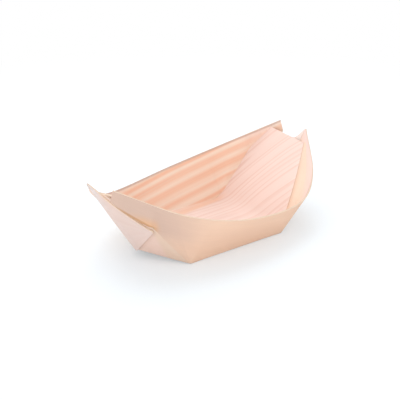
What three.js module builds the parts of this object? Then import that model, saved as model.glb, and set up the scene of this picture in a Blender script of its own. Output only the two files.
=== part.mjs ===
// Boat dish folded from one scored sheet of pine veneer.
// Millimetres, +Z up, +X along the boat, origin under the middle of the floor.
// Every panel between two creases is a piece of its own. The dish looks the same
// after half a turn about Z, so one end and one side wall are made and then turned.
import * as THREE from 'three';

// The veneer, the bare line left at a crease and at a folded corner, and the air between two layers
const VENEER = 0.8;
const CREASE_GAP = 0.4;
const LAYER_GAP = 0.35;
const CORNER_GAP = 1.2;

// The flat floor
const FLOOR_LENGTH = 59.4;
const FLOOR_WIDTH = 56;

// The ear: the far corner of a side wall, where its rim meets the prow
const EAR_REACH = 70;
const EAR_SIDE = 0.8;
const EAR_HEIGHT = 44.6;

// The rim between the ear and the strip, the narrow other end of the same wall
const EAR_TURN_SETBACK = 12.5;
const EAR_TURN_SIDE = 20.7;
const EAR_TURN_DROP = 17.2;
const EAR_QUARTER_REACH = 40.2;
const EAR_QUARTER_SIDE = 33.5;
const EAR_QUARTER_HEIGHT = 20.2;
const RIM_SIDE = 41.2;
const RIM_HEIGHT = 23;
const STRIP_QUARTER_REACH = 33.6;
const STRIP_QUARTER_SIDE = 36.1;
const STRIP_QUARTER_HEIGHT = 31.3;
const STRIP_SETBACK = 5.1;
const STRIP_SIDE = 18.1;
const STRIP_HEIGHT = 46.2;

// The strip's cut end, from its rim corner down to its low corner
const STRIP_END_DROP = 6.6;
const STRIP_END_LEAN = 2.3;
const STRIP_END_RAKE = 0.7;

// The ramp that closes each end, set in from the ear on one side and from the strip on the other
const RAMP_BEND_RADIUS = 12;
const RAMP_EAR_SETBACK = 5.5;
const RAMP_EAR_INSET = 4.8;
const RAMP_EAR_DROP = 6.3;
const RAMP_STRIP_SETBACK = 4.5;
const RAMP_STRIP_INSET = 1;
const RAMP_STRIP_DROP = 4.4;
const RAMP_CLEARANCE = 0.8;

// The shoulder, where the strip leaves the ramp's edge and the lock flap's tip lies
const SHOULDER_HEIGHT = 28.1;
const SHOULDER_FLARE = 0.2;
const SHOULDER_CLEARANCE = 1.1;

// The prow, where the ear's wall turns back as the lock flap
const PROW_RAKE = 21;
const PROW_FOOT_SIDE = 6.8;
const PROW_FOOT_HEIGHT = 4.2;
const PROW_BOW = 1.2;

// The tucked panels: the shares of their lines they cover and how far they stay back in the fold
const LINING_START = 0.08;
const LINING_END = 0.97;
const LINING_TOP = 0.62;
const LINING_SETBACK = 4;
const RIDGE_START = 0.24;
const RIDGE_END = 0.84;
const POCKET_SETBACK = 3.6;

// The lock flap
const FLAP_TIP_DROP = 2.4;
const FLAP_SAG = 3.4;
const FLAP_SAG_POWER = 0.5;
const FLAP_TIP_WIDTH = 1.5;

// Shares of the rim's length where the wall's straight rulings change from line to line
const RULE_SHOULDER = 0.12;
const RULE_STRIP_CORNER = 0.18;
const RULE_STRIP_FLOOR = 0.3;
const RULE_EAR_FLOOR = 0.54;
const RULE_EAR_CORNER = 0.72;

// Steps of the panels' grids
const STRIP_STEPS = 5;
const RISE_STEPS = 6;
const CORNER_STEPS = 8;
const FLOOR_STEPS = 10;
const PROW_STEPS = 10;
const WALL_ROWS = 5;
const BEND_STEPS = 6;
const PANEL_STEPS = 8;

const WALL_COLOUR = 0xe6c9a8;
const FLOOR_COLOUR = 0xf6d9c6;
const FLAP_COLOUR = 0xeadcd2;

const floorEnd = FLOOR_LENGTH / 2;
const floorSide = FLOOR_WIDTH / 2;
const middle = VENEER / 2;
const layer = VENEER + LAYER_GAP;
const blend = THREE.MathUtils.lerp;

const point = (x, y, z) => new THREE.Vector3(x, y, z);
const between = (a, b, share) => a.clone().lerp(b, share);
const moved = (p, direction, length) => p.clone().addScaledVector(direction, length);
const towards = (a, b) => b.clone().sub(a).normalize();
const inset = (from, to, length) => moved(from, towards(from, to), length);
const turned = (p) => point(-p.x, -p.y, p.z);
const steps = (count) => Array.from({ length: count + 1 }, (_, i) => i / count);

// A closed thin sheet whose middle surface is the grid of points
function sheet(grid) {
  const rows = grid.length;
  const columns = grid[0].length;
  const positions = [];
  const index = [];
  const at = (side, i, j) => (side * rows + i) * columns + j;
  const quad = (a, b, c, d) => index.push(a, b, c, a, c, d);
  for (const offset of [VENEER / 2, -VENEER / 2]) {
    for (let i = 0; i < rows; i += 1) {
      for (let j = 0; j < columns; j += 1) {
        const along = towards(grid[i][Math.max(j - 1, 0)], grid[i][Math.min(j + 1, columns - 1)]);
        const across = towards(grid[Math.max(i - 1, 0)][j], grid[Math.min(i + 1, rows - 1)][j]);
        const p = moved(grid[i][j], along.cross(across).normalize(), offset);
        positions.push(p.x, p.y, p.z);
      }
    }
  }
  const lastRow = rows - 1;
  const lastColumn = columns - 1;
  for (let i = 0; i < lastRow; i += 1) {
    for (let j = 0; j < lastColumn; j += 1) {
      quad(at(0, i, j), at(0, i, j + 1), at(0, i + 1, j + 1), at(0, i + 1, j));
      quad(at(1, i, j), at(1, i + 1, j), at(1, i + 1, j + 1), at(1, i, j + 1));
    }
  }
  for (let j = 0; j < lastColumn; j += 1) {
    quad(at(0, 0, j), at(1, 0, j), at(1, 0, j + 1), at(0, 0, j + 1));
    quad(at(0, lastRow, j + 1), at(1, lastRow, j + 1), at(1, lastRow, j), at(0, lastRow, j));
  }
  for (let i = 0; i < lastRow; i += 1) {
    quad(at(0, i + 1, 0), at(1, i + 1, 0), at(1, i, 0), at(0, i, 0));
    quad(at(0, i, lastColumn), at(1, i, lastColumn), at(1, i + 1, lastColumn), at(0, i + 1, lastColumn));
  }
  const geometry = new THREE.BufferGeometry();
  geometry.setAttribute('position', new THREE.Float32BufferAttribute(positions, 3));
  geometry.setIndex(index);
  geometry.computeVertexNormals();
  return geometry;
}

// Corner points of one end, with its ear's wall on the -Y side
const ear = point(EAR_REACH, EAR_SIDE, EAR_HEIGHT);
const prowFoot = point(EAR_REACH - PROW_RAKE, PROW_FOOT_SIDE, PROW_FOOT_HEIGHT);
const stripTop = point(EAR_REACH - STRIP_SETBACK, STRIP_SIDE, STRIP_HEIGHT);
const stripLow = stripTop.clone().add(point(STRIP_END_RAKE, -STRIP_END_LEAN, -STRIP_END_DROP));
const earCorner = point(floorEnd, -floorSide, middle);
const stripCorner = point(floorEnd, floorSide, middle);

// The ramp's top corners, and its foot one layer inside the floor's end so that panels fit under it
const rampEarTop = ear.clone().add(point(-RAMP_EAR_SETBACK, -RAMP_EAR_INSET, -RAMP_EAR_DROP));
const rampStripTop = stripTop.clone().add(point(-RAMP_STRIP_SETBACK, RAMP_STRIP_INSET, -RAMP_STRIP_DROP));
const slopeTo = (top) => Math.atan2(top.z - middle, top.x - floorEnd);
const rampFoot = floorEnd - layer / Math.sin(Math.min(slopeTo(rampEarTop), slopeTo(rampStripTop)));
const earSlope = Math.atan2(rampEarTop.z - middle, rampEarTop.x - rampFoot);
const stripSlope = Math.atan2(rampStripTop.z - middle, rampStripTop.x - rampFoot);
const bendReach = RAMP_BEND_RADIUS * Math.tan(stripSlope / 2);
const earLength = (rampEarTop.z - middle) / Math.sin(earSlope);
const stripLength = (rampStripTop.z - middle) / Math.sin(stripSlope);
const shoulderRise = (SHOULDER_HEIGHT - middle) / Math.sin(stripSlope);
const shoulderSide = floorSide + SHOULDER_FLARE;

// The ramp's middle line at one slope, a distance along it from its foot, with its soft bend
function rampAt(distance, y, slope) {
  const radius = bendReach / Math.tan(slope / 2);
  if (distance >= bendReach) {
    return point(rampFoot + distance * Math.cos(slope), y, middle + distance * Math.sin(slope));
  }
  const turn = (slope * (distance + bendReach)) / (2 * bendReach);
  return point(rampFoot - bendReach + radius * Math.sin(turn), y, middle + radius * (1 - Math.cos(turn)));
}

// The ramp's edges: one beside the strip's wall, one above the ear's wall
function stripEdge(distance) {
  const foot = floorSide - SHOULDER_CLEARANCE;
  const bend = shoulderSide - SHOULDER_CLEARANCE;
  const side = distance < shoulderRise
    ? blend(foot, bend, Math.max(distance, 0) / shoulderRise)
    : blend(bend, rampStripTop.y, (distance - shoulderRise) / (stripLength - shoulderRise));
  return rampAt(distance, side, stripSlope);
}
function earEdge(distance) {
  const side = blend(RAMP_CLEARANCE - floorSide, rampEarTop.y, Math.max(distance, 0) / earLength);
  return rampAt(distance, side, earSlope);
}
const underRamp = (slope) => point(Math.sin(slope), 0, -Math.cos(slope));
const shoulder = moved(rampAt(shoulderRise, shoulderSide, stripSlope), underRamp(stripSlope), layer);

// The lock flap's plane, its tip on the shoulder and the bowed line it folds on
const prowLine = towards(prowFoot, ear);
const outward = towards(prowFoot, shoulder).cross(prowLine).normalize();
const flapTip = moved(moved(shoulder, outward, layer), prowLine, -FLAP_TIP_DROP);
const bowOut = outward.clone().cross(prowLine).normalize();
const prowAt = (up) => moved(between(prowFoot, ear, up), bowOut, 4 * PROW_BOW * up * (1 - up));

// The rim of the wall on the -Y side
const rim = new THREE.CatmullRomCurve3([
  turned(stripTop),
  point(-STRIP_QUARTER_REACH, -STRIP_QUARTER_SIDE, STRIP_QUARTER_HEIGHT),
  point(0, -RIM_SIDE, RIM_HEIGHT),
  point(EAR_QUARTER_REACH, -EAR_QUARTER_SIDE, EAR_QUARTER_HEIGHT),
  point(EAR_REACH - EAR_TURN_SETBACK, -EAR_TURN_SIDE, EAR_HEIGHT - EAR_TURN_DROP),
  ear,
]);

// The wall's straight rulings, each from its foot up to the rim
function wallRulings() {
  const rulings = [];
  const run = (count, footFrom, footTo, rimFrom, rimTo) => {
    const gap = footFrom === footTo ? CORNER_GAP : CREASE_GAP;
    for (const share of steps(count).slice(rulings.length ? 1 : 0)) {
      const top = rim.getPointAt(blend(rimFrom, rimTo, share));
      const foot = between(footFrom, footTo, share);
      rulings.push({ foot, top, gap });
    }
  };
  const leftCorner = turned(stripCorner);
  run(STRIP_STEPS, turned(stripLow), turned(shoulder), 0, RULE_SHOULDER);
  run(RISE_STEPS, turned(shoulder), leftCorner, RULE_SHOULDER, RULE_STRIP_CORNER);
  run(CORNER_STEPS, leftCorner, leftCorner, RULE_STRIP_CORNER, RULE_STRIP_FLOOR);
  run(FLOOR_STEPS, leftCorner, earCorner, RULE_STRIP_FLOOR, RULE_EAR_FLOOR);
  run(CORNER_STEPS, earCorner, earCorner, RULE_EAR_FLOOR, RULE_EAR_CORNER);
  run(PROW_STEPS, earCorner, prowFoot, RULE_EAR_CORNER, 1);
  return rulings;
}

function wallPanel() {
  const rulings = wallRulings();
  const grid = steps(WALL_ROWS).map((share) => rulings.map(({ foot, top, gap }, i) => {
    const up = blend(gap / foot.distanceTo(top), 1, share);
    return i === rulings.length - 1 ? prowAt(up) : between(foot, top, up);
  }));
  return sheet(grid);
}

function floorPanel() {
  const length = 2 * (rampFoot - bendReach - CREASE_GAP);
  const width = FLOOR_WIDTH - 2 * CREASE_GAP;
  return new THREE.BoxGeometry(length, width, VENEER).translate(0, 0, middle);
}

function rampPanel() {
  const bend = steps(BEND_STEPS).map((share) => blend(-bendReach, bendReach, share));
  const across = (from, to) => steps(PANEL_STEPS).map((share) => between(from, to, share));
  const grid = bend.map((distance) => across(earEdge(distance), stripEdge(distance)));
  for (const share of steps(PANEL_STEPS).slice(1)) {
    const from = earEdge(blend(bendReach, earLength, share));
    grid.push(across(from, stripEdge(blend(bendReach, stripLength, share))));
  }
  return sheet(grid);
}

// The lining carries on from the strip's wall, under the lock flap, to just short of the prow
function liningPanel() {
  const grid = steps(PANEL_STEPS).map((up) => {
    const back = between(stripCorner, shoulder, blend(LINING_START, LINING_END, up));
    const front = moved(prowAt(up * LINING_TOP), outward, -layer);
    return steps(PANEL_STEPS).map((share) =>
      between(inset(back, front, CREASE_GAP), inset(front, back, LINING_SETBACK), share));
  });
  return sheet(grid);
}

// The ridge gusset folds back under the ramp's ear side and runs down to the prow's foot
function ridgeGussetPanel() {
  const foot = inset(prowFoot, stripCorner, LINING_SETBACK);
  const grid = steps(PANEL_STEPS).map((share) => {
    const out = blend(RIDGE_START, RIDGE_END, share);
    const ridge = moved(earEdge(out * earLength), underRamp(earSlope), layer);
    const low = between(earCorner, foot, out);
    return steps(PANEL_STEPS).map((down) =>
      between(inset(ridge, low, CREASE_GAP), inset(low, ridge, POCKET_SETBACK), down));
  });
  return sheet(grid);
}

// The lock flap folds round the prow and lies over the lining, its tip on the strip's wall
function flapPanel() {
  const blunt = FLAP_TIP_WIDTH / prowFoot.distanceTo(ear);
  const grid = steps(PANEL_STEPS).map((up) => {
    const from = moved(prowAt(up), bowOut, -CREASE_GAP - VENEER / 2);
    const to = between(flapTip, from, blunt);
    return steps(PANEL_STEPS).map((share) => {
      const sag = FLAP_SAG * up * (4 * share * (1 - share)) ** FLAP_SAG_POWER;
      return moved(between(from, to, share), prowLine, -sag);
    });
  });
  return sheet(grid);
}

function piece(name, geometry, colour, halfTurn) {
  const material = new THREE.MeshStandardMaterial({ color: colour, roughness: 0.75, metalness: 0 });
  const mesh = new THREE.Mesh(geometry, material);
  mesh.name = name;
  mesh.rotation.z = halfTurn ? Math.PI : 0;
  return mesh;
}

const boat = new THREE.Group();
boat.add(piece('floor_panel', floorPanel(), FLOOR_COLOUR, false));
boat.add(piece('side_wall_near', wallPanel(), WALL_COLOUR, false));
boat.add(piece('side_wall_far', wallPanel(), WALL_COLOUR, true));
for (const [end, halfTurn] of [['right', false], ['left', true]]) {
  boat.add(piece(`end_ramp_${end}`, rampPanel(), FLOOR_COLOUR, halfTurn));
  boat.add(piece(`ridge_gusset_${end}`, ridgeGussetPanel(), WALL_COLOUR, halfTurn));
  boat.add(piece(`flap_lining_${end}`, liningPanel(), WALL_COLOUR, halfTurn));
  boat.add(piece(`lock_flap_${end}`, flapPanel(), FLAP_COLOUR, halfTurn));
}

export default boat;
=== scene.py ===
import math
from collections import namedtuple

import bpy
import numpy as np
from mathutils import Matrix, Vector
from mathutils.bvhtree import BVHTree


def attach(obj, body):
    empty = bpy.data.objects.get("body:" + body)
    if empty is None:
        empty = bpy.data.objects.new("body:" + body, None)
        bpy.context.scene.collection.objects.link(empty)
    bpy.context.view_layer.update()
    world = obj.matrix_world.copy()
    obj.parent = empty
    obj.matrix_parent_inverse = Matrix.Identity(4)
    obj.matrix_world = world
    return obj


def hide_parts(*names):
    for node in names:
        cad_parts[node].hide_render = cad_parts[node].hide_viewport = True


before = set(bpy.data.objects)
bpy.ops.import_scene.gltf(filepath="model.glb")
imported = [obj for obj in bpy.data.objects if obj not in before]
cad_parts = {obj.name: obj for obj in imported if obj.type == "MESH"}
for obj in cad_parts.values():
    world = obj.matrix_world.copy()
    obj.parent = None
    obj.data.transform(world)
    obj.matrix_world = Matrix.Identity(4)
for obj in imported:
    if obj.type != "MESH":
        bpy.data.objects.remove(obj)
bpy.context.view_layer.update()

# The sheet in millimetres, and the distance between the middles of two layers of it
MM = 0.001
VENEER = 0.8
LAYER = 1.15
FLAP_LAYER = 0.95

# The flat floor
FLOOR_LENGTH = 59.4
FLOOR_WIDTH = 56.0

# The rim's points, from the ear's tip round to the strip at the other end
EAR_REACH = 70.0
EAR_SIDE = 0.8
EAR_HEIGHT = 44.6
EAR_TURN_SETBACK = 12.5
EAR_TURN_SIDE = 20.7
EAR_TURN_DROP = 17.2
EAR_QUARTER_REACH = 40.2
EAR_QUARTER_SIDE = 33.5
EAR_QUARTER_HEIGHT = 20.2
RIM_SIDE = 41.2
RIM_HEIGHT = 23.0
STRIP_QUARTER_REACH = 33.6
STRIP_QUARTER_SIDE = 36.1
STRIP_QUARTER_HEIGHT = 31.3
STRIP_SETBACK = 5.1
STRIP_SIDE = 18.1
STRIP_HEIGHT = 46.2

# The strip's cut end, from its top to its lower corner, and the lip that its lower edge turns in
STRIP_END_RAKE = 0.7
STRIP_END_LEAN = 2.3
STRIP_END_DROP = 6.6
LIP_DEPTH = 3.8
LIP_DROP = 2.5
LIP_BOW = 1.5

# The ramp's bend, and its upper corners measured from the ear's tip and from the strip's top
RAMP_BEND_RADIUS = 12.0
RAMP_EAR_SETBACK = 4.5
RAMP_EAR_SHIFT = 3.75
RAMP_EAR_DROP = 6.8
RAMP_STRIP_SETBACK = 4.5
RAMP_STRIP_SHIFT = 1.0
RAMP_STRIP_DROP = 4.4

# The ramp's edges: their room, the ear side's swell and where it leaves the wall, and their reach to a wall
EDGE_ROOM = 0.1
EDGE_SWELL = 1.8
EDGE_LEAVES = 12.0
EDGE_REACH = 3.0
FOOT_REACH = 6.0

# The shoulder, where the strip's free edge meets the lining's fold, and the prow
SHOULDER_HEIGHT = 28.1
SHOULDER_FLARE = 0.2
PROW_RAKE = 21.0
PROW_FOOT_SIDE = 6.8
PROW_FOOT_HEIGHT = 4.2
PROW_BOW = 1.2
PROW_ROOM = 0.45

# The lock flap's tip, and how its upper edge sags and curls in
FLAP_TIP_DROP = 2.4
FLAP_TIP_WIDTH = 1.5
FLAP_SAG = 5.0
SAG_START = 0.05
SAG_POWER = 0.6
FLAP_CURL = 0.9
CURL_PLACE = 0.1
CURL_POWER = 6

# The lining under the flap: its span, its top on the prow, its arch and its reach past the prow's line
LINING_SPAN = (0.01, 0.985)
LINING_TOP = 0.82
LINING_ARCH = 9.0
ARCH_POWER = 6
LINING_REACH = 0.25
LINING_WIDENS = 3.0
LATE_POWER = 3
LINING_SHEET_TOP = 40.0

# The ridge gusset: its start, the collar on the wall above the ramp, and its room below and beside it
GUSSET_START = 0.03
COLLAR_RISE = 7.0
COLLAR_TAPER = 0.4
POCKET_ROOM = 1.5
WALL_ROOM = 0.15

# Shares of the rim where the wall's rulings change from line to line
RULE_SHOULDER = 0.12
RULE_STRIP_CORNER = 0.18
RULE_STRIP_FLOOR = 0.3
RULE_EAR_FLOOR = 0.54
RULE_EAR_CORNER = 0.72

# Half widths of the sharp and the soft folds, how they narrow at their ends, and the room at a corner
FOLD = 0.9
SOFT_FOLD = 7.0
SOFT_FOLD_LIMIT = 0.45
END_TAPER = 8
LEAST_TAPER = 0.3
CORNER_ROOM = 0.3

# Grid steps of folds and panels, then of the wall's rulings from its strip to its prow
FOLD_STEPS = 5
WALL_ROWS = 22
PANEL_ROWS = 24
PANEL_COLUMNS = 24
BEND_ROWS = 12
FLOOR_ROWS = 26
FLOOR_COLUMNS = 40
LIP_STEPS = 12
LINING_STEPS = 16
STRIP_CORNER_STEPS = 14
FLOOR_STEPS = 44
EAR_CORNER_STEPS = 18
PROW_STEPS = 32

# The angle in degrees from which an edge of the mesh shows sharp
SHARP_ANGLE = 50

# How the grain lies: the bands' depth and skew, the stripes' drift up the ramp and the growth rings
BANDS_DEPTH = 40.0
GRAIN_SKEW = 0.045
STRIPE_DRIFT = 0.49
RING_WIDTH = 4.4
RING_SPREAD = 4.0
RING_STRENGTH = 1.1
HAIR_STRENGTH = 0.9
GRAIN_DRIFT = 0.8

# Where the tints lie: the floor's band, the slot's painted shadow line on the strip, the flap's edges, the
# lining's fold
FLOOR_BAND_TILT = 0.15
FLOOR_BAND_LENGTH = 70.0
SLOT_TILT = 0.62
FLAP_TINT_REACH = 20.0
FLAP_EDGE_REACH = 10.0
FOLD_TINT_START = 13.0
FOLD_TINT_LEAN = 0.4
FOLD_TINT_BLUR = 8.0

# Noise in the grain: features a millimetre along it and across it
DRIFT_NOISE = (0.018, 0.07)
FINE_NOISE = (0.03, 0.9)
FIBRE_NOISE = (0.16, 4.5)
RING_NOISE = (0.006, 0.5)
SPREAD_NOISE = (0.006, 0.11)
HAIR_NOISE = (0.008, 0.8)
CLOUD_NOISE = (0.03, 0.2)
BROAD_CLOUD_NOISE = (0.02, 0.12)
CUT_NOISE = (0.5, 0.5)
NOISE_ROUGHNESS = 0.6
SEED_STEP = 1.7

# The bare wood's surface, and the share of light that thin veneer lets through
FIBRE_SHADE = 0.8
RING_GROOVE = 0.4
RELIEF_DEPTH = 0.06
RELIEF_STRENGTH = 0.35
ROUGHNESS = 0.5
ROUGHNESS_SPREAD = 0.18
GLOSS = 0.25
TRANSLUCENCE = 0.15

# Veneer colours as they show under plain light, except for a painted glow, a painted slot shadow, painted
# shade on the strip and the lightened flap-inside colours that make up for its shade
PALE_PINK = "#fce2d8"
STRIPE_PINK = "#f4d3c6"
BAND_PALE = "#ffead9"
BAND_DEEP = "#fbceb2"
CREAM = "#fee1cb"
EAR_PALE = "#f9dfd7"
TAN = "#f3d6bf"
TAN_DEEP = "#eccbb3"
# The strip's greyer rose: partly its own rosier tone, partly painted shade where the strip faces down away
# from the light
GREY_ROSE_WITH_SHADE = "#d2b8aa"
ROSE_PALE = "#f2dace"
ROSE_DEEP = "#ebcdbf"
FOLD_TAN = "#e9d0bd"
# Painted glow: the warm light that shines through the thin veneer where the strip bends into the slot
PAINTED_GLOW = "#e8b98f"
# Painted shadow: the dark line in the slot between the strip and the flap's upper edge
SLOT_SHADOW = "#c89a72"
RIM_GREY = "#cdb3a6"
FLAP_PALE = "#e8d6cf"
FLAP_DEEP = "#e2cac1"
FLAP_PROW = "#e0dbdb"
FLAP_WARM = "#f0d8c2"
# Lighter copies of the striped pinks for the flap's inside: painted light that makes up for the shade behind
# the ramp
FLAP_PINK_LIGHTENED = "#fff3ee"
FLAP_STRIPE_LIGHTENED = "#fbe6dd"
CUT_PALE = "#f4e2d0"
CUT_DEEP = "#e6ccb2"

# The camera's angles in degrees, its distance and lens in millimetres, and its nearest view in metres
CAMERA_AZIMUTH = 33.95
CAMERA_ELEVATION = 27.92
CAMERA_DISTANCE = 355.3
CAMERA_LENS = 56.57
CAMERA_SHIFT = (-0.02, 0.0685)
CAMERA_NEAREST = 0.01

# The lamps and the sky, with places and sizes in metres
LAMP_PLACE = (0.1, 0.5, 1.0)
LAMP_SIZE = 0.9
LAMP_ENERGY = 5.0
FILL_PLACE = (-0.8, -0.6, 0.2)
FILL_SIZE = 0.7
FILL_ENERGY = 3.0
SKY_STRENGTH = 0.9

# The studio floor in metres: its half width, its colours, and how it whitens away from the dish
STUDIO_HALF = 3.0
WHITE = (1, 1, 1, 1)
FLOOR_WHITE = (0.95, 0.95, 0.95, 1)
# The floor's colour to the camera is bluish, which shows only in the shadow: a painted cool tint of shade
FLOOR_SEEN = (0.86, 0.94, 1.0, 1)
FLOOR_LIFT = 0.36
SHADOW_REACH = 0.12
WHITE_FROM = 0.45


def vec(*values):
    return np.array(values, float)


def unit(v):
    return v / np.linalg.norm(v)


def mix(a, b, share):
    return a + (b - a) * share


def hump(share):
    """Rises from 0 to 1 in the middle of the way and falls to 0 again."""
    return 4 * share * (1 - share)


def turned(p):
    """The point half a turn round the dish's upright axis."""
    return p * vec(-1, -1, 1)


def shares(count):
    return np.linspace(0, 1, count + 1)


def bezier(start, bend, end, t):
    return (1 - t) ** 2 * start + 2 * t * (1 - t) * bend + t * t * end


# Corner points of one end, with its ear's wall on the -Y side
middle = VENEER / 2
floor_end = FLOOR_LENGTH / 2
floor_side = FLOOR_WIDTH / 2
inward = vec(0, 1, 0)
ear = vec(EAR_REACH, EAR_SIDE, EAR_HEIGHT)
strip_top = vec(EAR_REACH - STRIP_SETBACK, STRIP_SIDE, STRIP_HEIGHT)
strip_low = strip_top + vec(STRIP_END_RAKE, -STRIP_END_LEAN, -STRIP_END_DROP)
prow_foot = vec(EAR_REACH - PROW_RAKE, PROW_FOOT_SIDE, PROW_FOOT_HEIGHT)
ear_corner = vec(floor_end, -floor_side, middle)
strip_corner = vec(floor_end, floor_side, middle)
ramp_ear_top = ear + vec(-RAMP_EAR_SETBACK, -RAMP_EAR_SHIFT, -RAMP_EAR_DROP)
ramp_strip_top = strip_top + vec(-RAMP_STRIP_SETBACK, RAMP_STRIP_SHIFT, -RAMP_STRIP_DROP)


def slope_to(top, foot_x):
    return math.atan2(top[2] - middle, top[0] - foot_x)


# The ramp's foot, slopes and lengths on its two sides
gentlest = min(slope_to(ramp_ear_top, floor_end), slope_to(ramp_strip_top, floor_end))
ramp_foot = floor_end - LAYER / math.sin(gentlest)
ear_slope = slope_to(ramp_ear_top, ramp_foot)
strip_slope = slope_to(ramp_strip_top, ramp_foot)
bend_reach = RAMP_BEND_RADIUS * math.tan(strip_slope / 2)
ear_length = (ramp_ear_top[2] - middle) / math.sin(ear_slope)
strip_length = (ramp_strip_top[2] - middle) / math.sin(strip_slope)
shoulder_rise = (SHOULDER_HEIGHT - middle) / math.sin(strip_slope)
shoulder_side = floor_side + SHOULDER_FLARE


def ramp_at(distance, y, slope):
    """A point on the ramp's middle surface, a distance up from its foot, with its soft bend."""
    radius = bend_reach / math.tan(slope / 2)
    if distance >= bend_reach:
        return vec(ramp_foot + distance * math.cos(slope), y, middle + distance * math.sin(slope))
    turn = slope * (distance + bend_reach) / (2 * bend_reach)
    return vec(ramp_foot - bend_reach + radius * math.sin(turn), y, middle + radius * (1 - math.cos(turn)))


def strip_edge(distance):
    """The ramp's edge on the strip's side, which turns in at the shoulder."""
    foot = floor_side - EDGE_ROOM
    bend = shoulder_side - EDGE_ROOM
    if distance < shoulder_rise:
        side = mix(foot, bend, max(distance, 0) / shoulder_rise)
    else:
        side = mix(bend, ramp_strip_top[1], (distance - shoulder_rise) / (strip_length - shoulder_rise))
    return ramp_at(distance, side, strip_slope)


def ear_edge(distance):
    """The ramp's edge on the ear's side, swelled towards the wall."""
    share = max(distance, 0) / ear_length
    side = mix(EDGE_ROOM - floor_side, ramp_ear_top[1], share) - EDGE_SWELL * hump(share)
    return ramp_at(distance, side, ear_slope)


# The shoulder under the ramp, the prow's line, the flap's tip, and the ways out of the flap and the bow
under_ramp = vec(math.sin(strip_slope), 0, -math.cos(strip_slope))
shoulder = ramp_at(shoulder_rise, shoulder_side, strip_slope) + under_ramp * LAYER
prow_length = np.linalg.norm(ear - prow_foot)
prow_line = (ear - prow_foot) / prow_length
outward = unit(np.cross(shoulder - prow_foot, prow_line))
flap_tip = shoulder + outward * FLAP_LAYER - prow_line * FLAP_TIP_DROP
bow_out = unit(np.cross(outward, prow_line))


def prow_at(up):
    return mix(prow_foot, ear, up) + bow_out * PROW_BOW * hump(up)


class Rim:
    """The wall's rim as a centripetal spline through its points, measured by its length."""

    SAMPLES = 400

    def __init__(self, points):
        first = 2 * points[0] - points[1]
        last = 2 * points[-1] - points[-2]
        self.points = [first, *points, last]
        self.line = np.array([self.at(t) for t in shares(self.SAMPLES)])
        run = np.concatenate([[0], np.cumsum(np.linalg.norm(np.diff(self.line, axis=0), axis=1))])
        self.length = run[-1]
        self.run = run / run[-1]

    def at(self, t):
        spans = len(self.points) - 3
        span = min(int(t * spans), spans - 1)
        local = t * spans - span
        a, b, c, d = self.points[span:span + 4]
        knots = [math.sqrt(np.linalg.norm(q - p)) for p, q in ((a, b), (b, c), (c, d))]
        leave = ((b - a) / knots[0] - (c - a) / (knots[0] + knots[1]) + (c - b) / knots[1]) * knots[1]
        arrive = ((c - b) / knots[1] - (d - b) / (knots[1] + knots[2]) + (d - c) / knots[2]) * knots[1]
        return (b + leave * local + (3 * (c - b) - 2 * leave - arrive) * local ** 2
                + (2 * (b - c) + leave + arrive) * local ** 3)

    def at_share(self, share):
        return self.at(np.interp(share, self.run, shares(self.SAMPLES)))


rim = Rim([
    turned(strip_top),
    vec(-STRIP_QUARTER_REACH, -STRIP_QUARTER_SIDE, STRIP_QUARTER_HEIGHT),
    vec(0, -RIM_SIDE, RIM_HEIGHT),
    vec(EAR_QUARTER_REACH, -EAR_QUARTER_SIDE, EAR_QUARTER_HEIGHT),
    vec(EAR_REACH - EAR_TURN_SETBACK, -EAR_TURN_SIDE, EAR_HEIGHT - EAR_TURN_DROP),
    ear,
])


def srgb(colour):
    """A written colour as linear light."""
    values = [int(colour[i:i + 2], 16) / 255 for i in (1, 3, 5)]
    return [v / 12.92 if v <= 0.04045 else ((v + 0.055) / 1.055) ** 2.4 for v in values] + [1.0]


class Look:
    """The nodes of a material or world while they are put together."""

    def __init__(self, owner):
        self.owner = owner
        owner.use_nodes = True
        self.tree = owner.node_tree
        self.tree.nodes.clear()

    def node(self, kind, inputs=(), **settings):
        made = self.tree.nodes.new(kind)
        for key, value in settings.items():
            setattr(made, key, value)
        for key, value in dict(inputs).items():
            self.feed(made.inputs[key], value)
        return made

    def feed(self, socket, value):
        if isinstance(value, bpy.types.NodeSocket):
            self.tree.links.new(value, socket)
        else:
            socket.default_value = value

    def calc(self, operation, a, b=0.0, c=0.0):
        return self.node("ShaderNodeMath", {0: a, 1: b, 2: c}, operation=operation).outputs[0]

    def ramp(self, factor, stops):
        """A smooth run through stops, each a place and the level there."""
        made = self.node("ShaderNodeValToRGB", {"Fac": factor})
        made.color_ramp.interpolation = "EASE"
        elements = made.color_ramp.elements
        while len(elements) < len(stops):
            elements.new(0.5)
        for element, (place, level) in zip(elements, stops):
            element.position = place
            element.color = (level, level, level, 1.0)
        return made.outputs["Color"]

    def blend(self, factor, a, b, kind="MIX"):
        made = self.node("ShaderNodeMix", data_type="RGBA", blend_type=kind)
        self.feed(made.inputs["Factor"], factor)
        self.feed(made.inputs["A"], a)
        self.feed(made.inputs["B"], b)
        return made.outputs["Result"]

    def tones(self, factor, pale, deep):
        return self.blend(factor, srgb(pale), srgb(deep))

    def tint(self, colour, tone, mask, second_mask=None):
        """The colour with a tone laid over it where the mask, or both masks, are on."""
        if second_mask is not None:
            mask = self.calc("MULTIPLY", mask, second_mask)
        return self.blend(mask, colour, srgb(tone))


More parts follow.
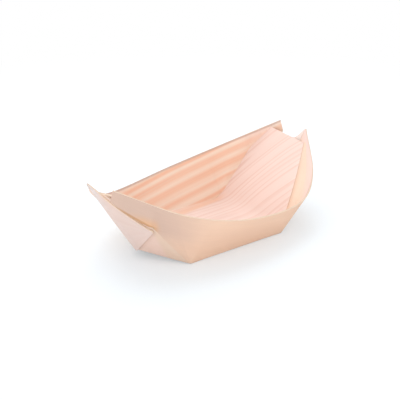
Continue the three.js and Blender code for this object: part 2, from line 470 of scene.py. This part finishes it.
class Grain(Look):
    """A veneer material, whose pattern lies along and across the flat sheet's grain, in millimetres."""

    def __init__(self, name, seed):
        super().__init__(bpy.data.materials.new(name))
        sheet = self.node("ShaderNodeUVMap", uv_map="sheet")
        split = self.node("ShaderNodeSeparateXYZ", {0: sheet.outputs[0]})
        self.seed = seed
        self.along = self.calc("MULTIPLY", split.outputs["X"], 1 / MM)
        self.across = self.calc("MULTIPLY", split.outputs["Y"], 1 / MM)
        drift = self.streaks(DRIFT_NOISE, detail=1.0)
        self.wavy = self.calc("MULTIPLY_ADD", drift, GRAIN_DRIFT, self.across)

    def streaks(self, noise, detail=2.0, wavy=False):
        """Noise drawn out along the grain."""
        along, across = noise
        place = self.node("ShaderNodeCombineXYZ", {
            "X": self.calc("MULTIPLY", self.along, along),
            "Y": self.calc("MULTIPLY", self.wavy if wavy else self.across, across),
            "Z": self.seed,
        })
        self.seed += SEED_STEP
        texture = self.node("ShaderNodeTexNoise", {
            "Vector": place.outputs[0], "Scale": 1.0, "Detail": detail, "Roughness": NOISE_ROUGHNESS,
        })
        return texture.outputs["Fac"]

    def swayed(self, level, noise, strength):
        """The level, raised and lowered by a noise."""
        return self.calc("MULTIPLY_ADD", self.calc("SUBTRACT", noise, 0.5), strength, level)

    def finish(self, colour, stripes, shade):
        """Adds fine streaks, fibres, relief and gloss to the drawn colour and closes the material."""
        fine = self.streaks(FINE_NOISE, detail=3.0, wavy=True)
        fibre = self.streaks(FIBRE_NOISE)
        light = self.swayed(1.0, fine, shade)
        light = self.swayed(light, fibre, shade * FIBRE_SHADE)
        grey = self.node("ShaderNodeCombineColor", {"Red": light, "Green": light, "Blue": light})
        colour = self.blend(1.0, colour, grey.outputs[0], "MULTIPLY")
        height = self.calc("MULTIPLY_ADD", stripes, -RING_GROOVE, self.calc("ADD", fine, fibre))
        relief = self.node("ShaderNodeBump", {
            "Height": height, "Strength": RELIEF_STRENGTH, "Distance": RELIEF_DEPTH * MM,
        })
        surface = self.node("ShaderNodeBsdfPrincipled", {
            "Base Color": colour,
            "Roughness": self.calc("MULTIPLY_ADD", fibre, ROUGHNESS_SPREAD, ROUGHNESS),
            "Specular IOR Level": GLOSS,
            "Normal": relief.outputs[0],
        })
        glow = self.node("ShaderNodeBsdfTranslucent", {"Color": colour})
        thin = self.node("ShaderNodeMixShader", {0: TRANSLUCENCE, 1: surface.outputs[0], 2: glow.outputs[0]})
        self.node("ShaderNodeOutputMaterial", {"Surface": thin.outputs[0]})
        return self.owner


def rim_share(look):
    """How far along the rim a point of the wall is, as a share of its length from the strip."""
    return look.calc("DIVIDE", look.along, rim.length)


def rim_depth(look):
    """How far below the rim a point of the wall is, as a share of the bands' depth."""
    skew = look.calc("MULTIPLY", look.calc("SUBTRACT", look.along, rim.length / 2), GRAIN_SKEW)
    return look.calc("DIVIDE", look.calc("ADD", look.across, skew), BANDS_DEPTH)


def banded_inside():
    """Broad growth bands that follow the rim, fading to plain cream towards the ear."""
    look = Grain("veneer_banded", seed=3.0)
    bands = look.ramp(look.calc("DIVIDE", look.wavy, BANDS_DEPTH), (
        (0.03, 0.2), (0.077, 1.0), (0.135, 0.05), (0.185, 0.9), (0.29, 0.1), (0.36, 1.0),
        (0.475, 0.1), (0.54, 0.85), (0.645, 0.0), (0.71, 1.0), (0.81, 0.3), (0.9, 0.8),
    ))
    rings = look.streaks(RING_NOISE, wavy=True)
    stripes = look.swayed(bands, rings, RING_STRENGTH)
    colour = look.tones(stripes, BAND_PALE, BAND_DEEP)
    share = rim_share(look)
    depth = rim_depth(look)
    by_rim = look.ramp(depth, ((0.0, 1.0), (0.24, 0.0)))
    plain = look.tones(by_rim, CREAM, EAR_PALE)
    plainness = look.ramp(share, ((0.0, 0.1), (0.08, 0.6), (0.18, 0.0), (0.62, 0.0), (0.75, 1.0)))
    colour = look.blend(plainness, colour, plain)
    at_rim = look.ramp(depth, ((0.01, 0.8), (0.045, 0.0)))
    off_ear = look.ramp(share, ((0.68, 1.0), (0.84, 0.0)))
    colour = look.tint(colour, RIM_GREY, at_rim, off_ear)
    return look.finish(colour, stripes, shade=0.06)


def floor_band(look, colour):
    """The wall's lowest growth band, which runs on over the fold along each side of the floor."""
    side = look.calc("SIGN", look.across)
    along = look.calc("MULTIPLY", look.along, side)
    past = look.calc("MULTIPLY_ADD", along, -FLOOR_BAND_TILT, look.calc("ABSOLUTE", look.across))
    in_band = look.ramp(look.calc("DIVIDE", past, floor_side), ((0.68, 0.0), (0.8, 0.8), (1.0, 0.5)))
    place = look.calc("DIVIDE", look.calc("ADD", along, floor_side), FLOOR_BAND_LENGTH)
    shown = look.ramp(place, ((0.0, 0.0), (0.38, 1.0), (0.72, 1.0), (0.9, 0.0)))
    return look.tint(colour, BAND_DEEP, in_band, shown)


def striped_inside(name, seed, pale, deep, banded=False):
    """Fine pale growth rings, each darkening slowly and ending sharply."""
    look = Grain(name, seed)
    spread = look.streaks(SPREAD_NOISE, detail=1.0)
    phase = look.calc("MULTIPLY_ADD", spread, RING_SPREAD, look.calc("DIVIDE", look.across, RING_WIDTH))
    saw = look.calc("FRACT", phase)
    rings = look.ramp(saw, ((0.0, 0.0), (0.45, 0.12), (0.8, 0.75), (0.9, 1.0), (1.0, 0.0)))
    hairs = look.streaks(HAIR_NOISE, wavy=True)
    stripes = look.swayed(rings, hairs, HAIR_STRENGTH)
    colour = look.tones(stripes, pale, deep)
    if banded:
        colour = floor_band(look, colour)
    return look.finish(colour, stripes, shade=0.05)


def plain_outside():
    """The smooth outer face: broad clouds of tan, rosier on the strip and darker there as painted shade,
    with a painted glow and a painted shadow line along the slot.
    """
    look = Grain("veneer_plain", seed=47.0)
    clouds = look.streaks(BROAD_CLOUD_NOISE)
    colour = look.tones(clouds, TAN, TAN_DEEP)
    share = rim_share(look)
    depth = rim_depth(look)
    # The strip and the wall's upper left turn greyer rose: partly the veneer's tone, partly painted shade
    to_strip = look.ramp(share, ((0.12, 0.9), (0.34, 0.0)))
    upper = look.ramp(depth, ((0.25, 1.0), (0.55, 0.3)))
    colour = look.tint(colour, GREY_ROSE_WITH_SHADE, to_strip, upper)
    # Painted glow of light through the veneer, just above the slot
    painted_glow_by_slot = look.ramp(share, ((0.05, 0.0), (0.1, 0.8), (0.12, 0.8), (0.135, 0.0)))
    low = look.ramp(depth, ((0.13, 0.0), (0.26, 1.0)))
    colour = look.tint(colour, PAINTED_GLOW, painted_glow_by_slot, low)
    by_prow = look.ramp(share, ((0.84, 0.0), (1.0, 0.9)))
    colour = look.tint(colour, FLAP_PALE, by_prow)
    # Painted shadow: a dark line in the slot under the strip's free edge
    past_edge = look.calc("MULTIPLY_ADD", share, -SLOT_TILT, depth)
    in_slot_shadow = look.ramp(past_edge, ((0.168, 0.0), (0.186, 0.85)))
    on_strip = look.ramp(share, ((0.115, 1.0), (0.13, 0.0)))
    colour = look.tint(colour, SLOT_SHADOW, in_slot_shadow, on_strip)
    return look.finish(colour, clouds, shade=0.07)


def flap_outside():
    """The lock flap's outer face: cool along the prow, warm along its upper edge."""
    look = Grain("veneer_flap", seed=63.0)
    clouds = look.streaks(CLOUD_NOISE)
    colour = look.tones(clouds, FLAP_PALE, FLAP_DEEP)
    from_prow = look.calc("DIVIDE", look.along, FLAP_TINT_REACH)
    by_prow = look.ramp(from_prow, ((0.0, 0.9), (0.5, 0.0)))
    by_ear = look.ramp(look.calc("DIVIDE", look.across, FLAP_TINT_REACH), ((0.0, 1.0), (0.9, 0.15)))
    colour = look.tint(colour, FLAP_PROW, by_prow, by_ear)
    by_edge = look.ramp(look.calc("DIVIDE", look.across, FLAP_EDGE_REACH), ((0.0, 0.8), (0.4, 0.0)))
    away = look.ramp(from_prow, ((0.2, 0.0), (0.6, 1.0)))
    colour = look.tint(colour, FLAP_WARM, by_edge, away)
    return look.finish(colour, clouds, shade=0.07)


def rosy_outside():
    """The lining's outer face: the wall's tan runs on past the fold, then turns rosier."""
    look = Grain("veneer_rosy", seed=71.0)
    clouds = look.streaks(CLOUD_NOISE)
    rose = look.tones(clouds, ROSE_PALE, ROSE_DEEP)
    line = look.calc("MULTIPLY", look.calc("SUBTRACT", look.across, FOLD_TINT_START), FOLD_TINT_LEAN)
    past = look.calc("DIVIDE", look.calc("SUBTRACT", look.along, line), FOLD_TINT_BLUR)
    turn = look.ramp(past, ((0.0, 0.0), (0.5, 1.0)))
    colour = look.blend(turn, srgb(FOLD_TAN), rose)
    return look.finish(colour, clouds, shade=0.07)


def cut_edge():
    """The sheet's cut edges."""
    look = Grain("veneer_cut", seed=81.0)
    grain = look.streaks(CUT_NOISE, detail=3.0)
    colour = look.tones(grain, CUT_PALE, CUT_DEEP)
    return look.finish(colour, grain, shade=0.08)


def prow_fold():
    """The cool edge where the sheet turns round the prow."""
    look = Grain("veneer_prow", seed=91.0)
    clouds = look.streaks(CLOUD_NOISE)
    colour = look.tones(clouds, FLAP_PROW, FLAP_PALE)
    return look.finish(colour, clouds, shade=0.07)


BANDED = banded_inside()
STRIPED = striped_inside("veneer_striped", 21.0, PALE_PINK, STRIPE_PINK, banded=True)
LINING_INSIDE = striped_inside("veneer_lining_inside", 21.0, PALE_PINK, STRIPE_PINK)
# The flap's inside is a lighter copy of the ramp's stripes: painted light against the shade it lies in
FLAP_INSIDE_LIGHTENED = striped_inside("veneer_flap_inside", 33.0, FLAP_PINK_LIGHTENED, FLAP_STRIPE_LIGHTENED)
PLAIN = plain_outside()
FLAP = flap_outside()
ROSY = rosy_outside()
CUT = cut_edge()
PROW = prow_fold()


def numbered(grid):
    """The numbers of a grid's points, row by row."""
    rows, columns, _ = grid.shape
    return np.arange(rows * columns).reshape(rows, columns)


def quads(at):
    """The corners of each face of a numbered grid, round from its low left one."""
    corners = (at[:-1, :-1], at[:-1, 1:], at[1:, 1:], at[1:, :-1])
    return np.stack([corner.ravel() for corner in corners], 1)


def both_sides(grid):
    """The points of the sheet's front and then its back, half its thickness off the grid."""
    normals = np.cross(np.gradient(grid, axis=1), np.gradient(grid, axis=0))
    normals /= np.linalg.norm(normals, axis=2, keepdims=True)
    front = grid + normals * middle
    back = grid - normals * middle
    return np.concatenate([front.reshape(-1, 3), back.reshape(-1, 3)])


def panel_faces(grid):
    """Faces of the front, the back and the four cut edges, of which the second is the last column's."""
    at = numbered(grid)
    front = quads(at)
    groups = [front, front[:, ::-1] + at.size]
    border = (at[0, :-1], at[:-1, -1], at[-1, :0:-1], at[:0:-1, 0])
    for edge, following in zip(border, border[1:] + border[:1]):
        after = np.append(edge[1:], following[0])
        groups.append(np.stack([edge, edge + at.size, after + at.size, after], 1))
    return groups


def panel_mesh(name, points, groups, flat, materials):
    """The panel's mesh, with its materials and its place in the flat sheet."""
    faces = np.concatenate(groups)
    mesh = bpy.data.meshes.new(name)
    mesh.from_pydata((points * MM).tolist(), [], faces.tolist())
    for material in materials:
        mesh.materials.append(material)
    front, back, cut = range(3)
    last_column = len(materials) - 1
    slots = np.repeat((front, back, cut, last_column, cut, cut), [len(group) for group in groups])
    mesh.polygons.foreach_set("material_index", slots.astype(np.int32))
    mesh.polygons.foreach_set("use_smooth", np.ones(len(faces), bool))
    places = np.tile(flat.reshape(-1, 2) * MM, (2, 1))
    layer = mesh.uv_layers.new(name="sheet")
    layer.data.foreach_set("uv", places[faces.ravel()].astype(np.float32).ravel())
    mesh.update()
    mesh.set_sharp_from_angle(angle=math.radians(SHARP_ANGLE))
    return mesh


def panel(name, body, sheet, materials, half_turn=False):
    """A closed veneer panel from a sheet: a grid of points, and each one's place in the flat veneer.

    The front is the side that rows upwards and columns from left to right turn to the viewer. The
    materials are those of the front, the back and the cut edges, and a fourth is the last column's edge.
    """
    grid, flat = sheet
    points = both_sides(grid)
    if half_turn:
        points = turned(points)
    mesh = panel_mesh(name, points, panel_faces(grid), flat, materials)
    piece = bpy.data.objects.new(f"{name}_veneer", mesh)
    bpy.context.scene.collection.objects.link(piece)
    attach(piece, body)
    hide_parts(name)


def lining_back(up):
    """The lining's fold with the strip's wall, from the floor's corner to the shoulder."""
    return mix(strip_corner, shoulder, up)


def lining_front(up):
    """The lining's edge behind the prow."""
    return prow_at(up * LINING_TOP) - outward * FLAP_LAYER


def lining_fold(up):
    """The line behind the flap's free edge where the lining's lower facet ends."""
    return mix(lining_front(0), lining_back(1), up)


facet_length = np.linalg.norm(lining_front(0) - lining_back(0))
facet_run = (lining_front(0) - lining_back(0)) / facet_length


def soft_fold(up):
    """Half width of the soft bend between the strip's wall and the lining."""
    room = (1 - up) * facet_length * SOFT_FOLD_LIMIT
    width = min(mix(FOLD, SOFT_FOLD, math.sin(math.pi * up)), room)
    return max(width, CORNER_ROOM)


def end_taper(share):
    """A share of the fold's width, which narrows towards both ends of its line."""
    return max(min(1.0, END_TAPER * min(share, 1 - share)), LEAST_TAPER)


# A straight line of the bent wall: its ends, the top's share of the rim, and the fold at its foot
Ruling = namedtuple("Ruling", "foot top at_rim onward width")


def cut_foot(share):
    """A foot past which the sheet doesn't run on."""
    return None, FOLD


def lip_foot(share):
    """A foot past which the strip's lip turns in behind the flap."""
    tuck = -outward * mix(LIP_DEPTH, FOLD, share) - prow_line * LIP_DROP
    return turned(unit(tuck)), np.linalg.norm(tuck)


def lining_foot(share):
    """A foot past which the sheet runs on as the lining."""
    return turned(facet_run), soft_fold(1 - share)


def floor_foot(share):
    """A foot past which the sheet runs on as the floor."""
    return inward, FOLD * end_taper(share)


def wall_rulings():
    """The near wall's rulings, from its strip to its prow."""
    rulings = []

    def run(count, foot_from, foot_to, rim_from, rim_to, fold, bow=0.0):
        for share in shares(count)[1 if rulings else 0:]:
            foot = mix(foot_from, foot_to, share)
            at_rim = mix(rim_from, rim_to, share)
            top = rim.at_share(at_rim)
            foot = foot + unit(foot - top) * bow * math.sin(math.pi * share)
            rulings.append(Ruling(foot, top, at_rim, *fold(share)))

    left_corner = turned(strip_corner)
    run(LIP_STEPS, turned(strip_low), turned(shoulder), 0, RULE_SHOULDER, lip_foot, LIP_BOW)
    run(LINING_STEPS, turned(shoulder), left_corner, RULE_SHOULDER, RULE_STRIP_CORNER, lining_foot)
    run(STRIP_CORNER_STEPS, left_corner, left_corner, RULE_STRIP_CORNER, RULE_STRIP_FLOOR, cut_foot)
    run(FLOOR_STEPS, left_corner, ear_corner, RULE_STRIP_FLOOR, RULE_EAR_FLOOR, floor_foot)
    run(EAR_CORNER_STEPS, ear_corner, ear_corner, RULE_EAR_FLOOR, RULE_EAR_CORNER, cut_foot)
    run(PROW_STEPS, ear_corner, prow_foot, RULE_EAR_CORNER, 1, cut_foot)
    return rulings


def wall_line(ruling, on_prow):
    """The points of one ruling, from the lip or its half of the fold at its foot up to the rim."""
    foot, top, at_rim, onward, width = ruling
    length = np.linalg.norm(top - foot)
    rise = (top - foot) / length
    on_lip = at_rim < RULE_SHOULDER
    reach = FOLD if on_lip else width
    begin = 0 if on_lip else 0.5
    line = []
    for t in shares(FOLD_STEPS)[:-1]:
        if onward is None:
            line.append(foot + rise * mix(CORNER_ROOM, width, t))
        else:
            line.append(bezier(foot + onward * width, foot, foot + rise * reach, mix(begin, 1, t)))
    for share in shares(WALL_ROWS):
        distance = mix(reach, length, share)
        line.append(prow_at(distance / length) if on_prow else foot + rise * distance)
    return np.array(line)


def wall_sheet():
    """The near wall, with one column of points for each ruling."""
    rulings = wall_rulings()
    columns = []
    flat = []
    for ruling in rulings:
        line = wall_line(ruling, on_prow=ruling is rulings[-1])
        columns.append(line)
        along = ruling.at_rim * rim.length
        depth = np.linalg.norm(line[:, None] - rim.line[None], axis=2).min(1)
        skewed = depth + GRAIN_SKEW * (rim.length / 2 - along)
        flat.append(np.stack([np.full(len(line), along), skewed], 1))
    return np.stack(columns, 1), np.stack(flat, 1)


def floor_fold(share):
    """The floor's half of the fold along its near edge, from the flat floor out, at a share of that edge."""
    top = rim.at_share(mix(RULE_STRIP_FLOOR, RULE_EAR_FLOOR, share))
    foot = mix(turned(strip_corner), ear_corner, share)
    on_floor = foot + inward * FOLD
    on_wall = foot + unit(top - foot) * FOLD
    return np.array([bezier(on_floor, foot, on_wall, t / 2) for t in shares(FOLD_STEPS)])


def floor_sheet():
    """The floor between the two ramps' bends."""
    half_length = ramp_foot - bend_reach
    columns = []
    for x in np.linspace(-half_length, half_length, FLOOR_COLUMNS):
        share = (x + floor_end) / FLOOR_LENGTH
        near = floor_fold(share)[::-1]
        far = turned(floor_fold(1 - share))
        inner = np.linspace(near[-1], far[0], FLOOR_ROWS)[1:-1]
        columns.append(np.concatenate([near, inner, far]))
    grid = np.stack(columns, 1)
    return grid, grid[:, :, :2].copy()


def surface_tree(grid):
    """A panel's middle surface, to find where another panel meets it."""
    return BVHTree.FromPolygons(grid.reshape(-1, 3).tolist(), quads(numbered(grid)).tolist())


def meet(tree, start, end, reach):
    """Where the line from start through end meets the surface near its end, or else the end itself."""
    hit, _, _, distance = tree.ray_cast(Vector(start), Vector(unit(end - start)))
    if hit is None or abs(distance - np.linalg.norm(end - start)) > reach:
        return end
    return np.array(hit)


def held_in(tree, point):
    """The point, moved in where it needs room from the wall's middle surface.

    The wall's nearest point, its normal and its face there are given with it.
    """
    hit, normal, face, _ = tree.find_nearest(Vector(point))
    against = np.array(hit)
    normal = np.array(normal)
    past = (point - against) @ normal + WALL_ROOM
    return point - normal * max(past, 0), against, normal, face


def ear_rest(near_wall, run):
    """The ramp's edge on the ear's side: on the wall at its foot, leaving it further up."""
    edge = ear_edge(run)
    on_wall = meet(near_wall, edge * vec(1, 0, 1), edge, FOOT_REACH)
    return mix(on_wall, edge, np.clip(run / EDGE_LEAVES, 0, 1))


def ramp_sheet(near_wall, far_wall):
    """The ramp, from the floor's end up between the two walls."""
    bend = np.linspace(-bend_reach, bend_reach, BEND_ROWS + 1)
    above = shares(PANEL_ROWS)[1:]
    ear_runs = np.append(bend, mix(bend_reach, ear_length, above))
    strip_runs = np.append(bend, mix(bend_reach, strip_length, above))
    across = shares(PANEL_COLUMNS)
    grid = []
    flat = []
    for ear_run, strip_run in zip(ear_runs, strip_runs):
        low = ear_rest(near_wall, ear_run)
        high = strip_edge(strip_run)
        centre = (low + high) / 2
        row = mix(low, meet(far_wall, centre, high, EDGE_REACH), across[:, None])
        run = mix(ear_run, strip_run, across)
        risen = run + bend_reach
        drift = STRIPE_DRIFT * risen ** 2 / (risen + 2 * bend_reach)
        grid.append(row)
        flat.append(np.stack([ramp_foot + run, row[:, 1] + drift], 1))
    return np.array(grid), np.array(flat)


def sag(share):
    """How far the flap's upper edge lies below the line from the ear to its tip."""
    return FLAP_SAG * (1 - share) ** SAG_POWER * (1 - np.exp(-share / SAG_START))


def curl(share):
    """How far the flap's upper edge leans in over the ramp, at a share of its way to its tip."""
    return FLAP_CURL * share / CURL_PLACE * np.exp(1 - share / CURL_PLACE)


def lining_sheet():
    """The lining's lower facet, from the strip's wall to its fold, and its upper part behind the flap."""
    grid = []
    flat = []
    for up in mix(*LINING_SPAN, shares(PANEL_ROWS)):
        back = lining_back(up)
        fold = lining_fold(up)
        front = lining_front(up)
        top = rim.at_share(mix(RULE_STRIP_CORNER, RULE_SHOULDER, up))
        rise = unit(turned(top) - back)
        width = soft_fold(up)
        on_facet = back + facet_run * width
        late = up ** LATE_POWER
        past_prow = front + unit(front - back) * LINING_REACH * (1 + LINING_WIDENS * late)
        bend = [bezier(back + rise * width, back, on_facet, 0.5 + t / 2) for t in shares(FOLD_STEPS)[:-1]]
        facet = np.linspace(on_facet, fold, PANEL_COLUMNS // 2, endpoint=False)
        behind = np.linspace(fold, past_prow, PANEL_COLUMNS + 1)
        line = np.concatenate([bend, facet, behind])
        share = np.clip(np.linalg.norm(line - front, axis=1) / np.linalg.norm(back - front), 0, 1)
        arch = LINING_ARCH * late * (1 - share - (1 - share) ** ARCH_POWER)
        lean = curl(share) * up ** CURL_POWER
        line += arch[:, None] * prow_line - lean[:, None] * outward
        grid.append(line)
        away = np.linalg.norm(line - back, axis=1)
        flat.append(np.stack([away, LINING_SHEET_TOP - line[:, 2]], 1))
    return np.array(grid), np.array(flat)


def gusset_sheet(wall, near_wall):
    """The gusset, from the ear's wall above the ramp, past the ramp's edge, down to the prow's foot line."""
    wall_columns = wall.shape[1] - 1
    grid = []
    flat = []
    for out in mix(GUSSET_START, 1.0, shares(PANEL_ROWS)):
        edge, against, normal, face = held_in(near_wall, ear_rest(near_wall, out * ear_length))
        top = wall[-1, face % wall_columns]
        rise = min(COLLAR_RISE * min(1, out / COLLAR_TAPER), np.linalg.norm(top - against) / 2)
        start = against + unit(top - against) * rise
        ridge = edge + normal * middle
        foot = mix(ear_corner, prow_foot, out)
        low = foot + unit(ridge - foot) * POCKET_ROOM - normal * middle
        collar = [bezier(start, mix(against, ridge, 0.5), ridge, t) for t in shares(FOLD_STEPS)[:-1]]
        down = [held_in(near_wall, mix(ridge, low, share))[0] for share in shares(PANEL_COLUMNS)]
        line = np.array(collar + down)
        along = rim.length * mix(RULE_EAR_CORNER, 1, out)
        grid.append(line)
        flat.append(np.stack([np.full(len(line), along), line[:, 2]], 1))
    return np.array(grid), np.array(flat)


def flap_sheet():
    """The lock flap, from the prow to its tip."""
    blunt = FLAP_TIP_WIDTH / prow_length
    across = shares(PANEL_COLUMNS)
    grid = []
    flat = []
    for up in shares(PANEL_ROWS):
        start = prow_at(up) - bow_out * PROW_ROOM
        end = mix(flap_tip, start, blunt)
        drop = sag(across) * up
        lean = curl(across) * up ** CURL_POWER
        line = mix(start, end, across[:, None]) - drop[:, None] * prow_line - lean[:, None] * outward
        below = np.full(len(line), (1 - up) * prow_length)
        grid.append(line)
        flat.append(np.stack([np.linalg.norm(line - start, axis=1), below], 1))
    return np.array(grid), np.array(flat)


# The panels of the dish
wall = wall_sheet()
near_wall = surface_tree(wall[0])
far_wall = surface_tree(turned(wall[0]))
ramp, ramp_flat = ramp_sheet(near_wall, far_wall)
lining = lining_sheet()
gusset = gusset_sheet(wall[0], near_wall)
flap = flap_sheet()
panel("side_wall_near", "boat", wall, (PLAIN, BANDED, CUT, PROW))
panel("side_wall_far", "boat", wall, (PLAIN, BANDED, CUT, PROW), half_turn=True)
panel("floor_panel", "boat", floor_sheet(), (STRIPED, PLAIN, CUT))
for end, half_turn in (("right", False), ("left", True)):
    ramp_here = (ramp, -ramp_flat if half_turn else ramp_flat)
    panel(f"end_ramp_{end}", "boat", ramp_here, (PLAIN, STRIPED, CUT), half_turn)
    panel(f"flap_lining_{end}", "boat", lining, (LINING_INSIDE, ROSY, CUT), half_turn)
    panel(f"ridge_gusset_{end}", "boat", gusset, (PLAIN, BANDED, CUT), half_turn)
    panel(f"lock_flap_{end}", f"flap_{end}", flap, (FLAP, FLAP_INSIDE_LIGHTENED, CUT), half_turn)


def white_floor():
    """A floor that keeps the dish's shadow near it and is seen as plain white further away."""
    look = Look(bpy.data.materials.new("studio_floor"))
    seen = look.node("ShaderNodeLightPath").outputs["Is Camera Ray"]
    surface = look.node("ShaderNodeBsdfDiffuse", {"Color": look.blend(seen, FLOOR_WHITE, FLOOR_SEEN)})
    white = look.node("ShaderNodeEmission", {"Color": WHITE, "Strength": 1.0})
    place = look.node("ShaderNodeNewGeometry").outputs["Position"]
    away = look.node("ShaderNodeVectorMath", {0: place}, operation="LENGTH").outputs["Value"]
    lift = look.ramp(away, ((SHADOW_REACH, FLOOR_LIFT), (WHITE_FROM, 1.0)))
    lifted = look.calc("MULTIPLY", seen, lift)
    both = look.node("ShaderNodeMixShader", {0: lifted, 1: surface.outputs[0], 2: white.outputs[0]})
    look.node("ShaderNodeOutputMaterial", {"Surface": both.outputs[0]})

    corners = [(-1, -1), (1, -1), (1, 1), (-1, 1)]
    points = [(x * STUDIO_HALF, y * STUDIO_HALF, 0) for x, y in corners]
    mesh = bpy.data.meshes.new("studio_floor")
    mesh.from_pydata(points, [], [range(len(points))])
    mesh.materials.append(look.owner)
    plane = bpy.data.objects.new("studio_floor", mesh)
    bpy.context.scene.collection.objects.link(plane)


def white_sky():
    """Even light all round that the camera sees as plain white."""
    look = Look(bpy.data.worlds.new("studio_sky"))
    seen = look.node("ShaderNodeLightPath").outputs["Is Camera Ray"]
    level = look.node("ShaderNodeMapRange", {"Value": seen, "To Min": SKY_STRENGTH, "To Max": 1.0})
    sky = look.node("ShaderNodeBackground", {"Color": WHITE, "Strength": level.outputs[0]})
    look.node("ShaderNodeOutputWorld", {"Surface": sky.outputs[0]})
    bpy.context.scene.world = look.owner


def aimed(name, data, place):
    """A lamp or camera at a place in metres, turned towards the dish."""
    thing = bpy.data.objects.new(name, data)
    thing.location = place
    thing.rotation_mode = "QUATERNION"
    thing.rotation_quaternion = (-Vector(place)).to_track_quat("-Z", "Y")
    bpy.context.scene.collection.objects.link(thing)
    return thing


def soft_lamp(name, place, size, energy):
    light = bpy.data.lights.new(name, "AREA")
    light.energy = energy
    light.size = size
    aimed(name, light, place)


def photo_camera():
    """The camera at the photograph's viewing angle."""
    azimuth = math.radians(CAMERA_AZIMUTH)
    elevation = math.radians(CAMERA_ELEVATION)
    level = math.cos(elevation)
    back = Vector((-math.sin(azimuth) * level, -math.cos(azimuth) * level, math.sin(elevation)))
    data = bpy.data.cameras.new("photo_camera")
    data.lens = CAMERA_LENS
    data.shift_x, data.shift_y = CAMERA_SHIFT
    data.clip_start = CAMERA_NEAREST
    bpy.context.scene.camera = aimed("photo_camera", data, back * CAMERA_DISTANCE * MM)


white_floor()
white_sky()
soft_lamp("top_lamp", LAMP_PLACE, LAMP_SIZE, LAMP_ENERGY)
soft_lamp("fill_lamp", FILL_PLACE, FILL_SIZE, FILL_ENERGY)
photo_camera()
bpy.context.scene.view_settings.view_transform = "Standard"
